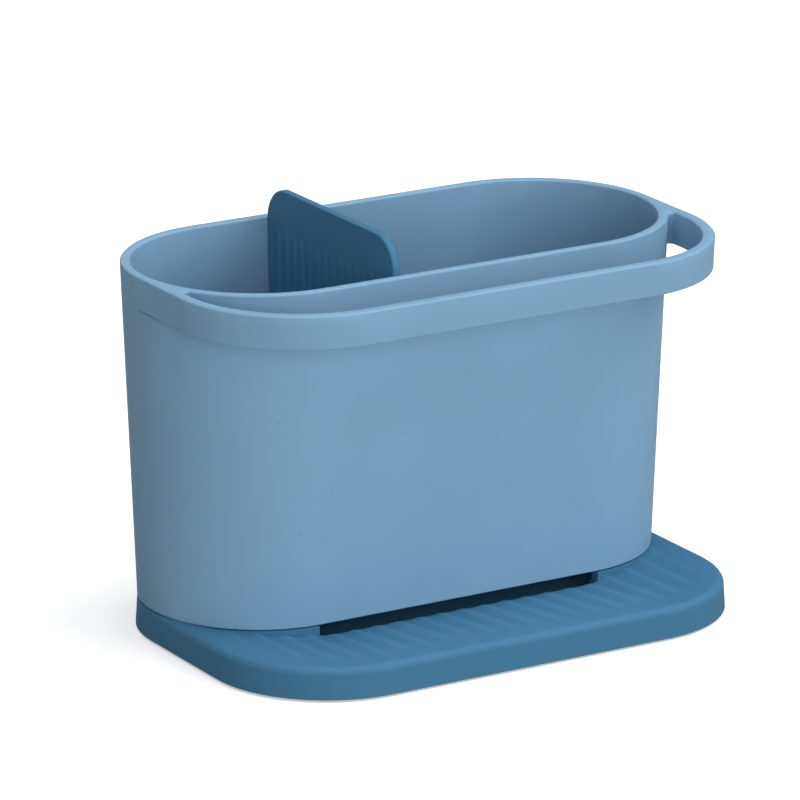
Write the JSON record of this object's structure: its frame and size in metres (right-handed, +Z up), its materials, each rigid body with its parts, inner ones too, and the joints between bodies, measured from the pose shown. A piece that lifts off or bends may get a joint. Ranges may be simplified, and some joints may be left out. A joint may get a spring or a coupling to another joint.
{
  "type": "kitchen sink caddy",
  "caption": "Oblong tapered sink caddy with a removable divider and a cloth rail, standing on a drip tray with a ribbed draining ramp.",
  "frame": {"origin": "centre of the overall box, on the plane that the feet stand on", "axes": "+Z up, +X along the long side to the right, front with the cloth rail and the ramp towards -Y"},
  "size_m": [0.2, 0.1332, 0.14],
  "materials": {
    "holder_plastic": "satin light grey-blue",
    "tray_plastic": "satin deep grey-blue",
    "foot_rubber": "matt dark grey"
  },
  "bodies": {
    "tray": {"drip_tray": "tray_plastic", "non_slip_feet": "foot_rubber"},
    "holder": {"holder": "holder_plastic"},
    "divider": {"divider": "tray_plastic"}
  },
  "joints": [
    {"name": "holder_lift", "type": "slide", "parent": "tray", "child": "holder", "axis": [0, 0, 1], "range_m": [0, 0.06]},
    {"name": "divider_lift", "type": "slide", "parent": "holder", "child": "divider", "axis": [0, 0, 1], "range_m": [0, 0.12]}
  ]
}
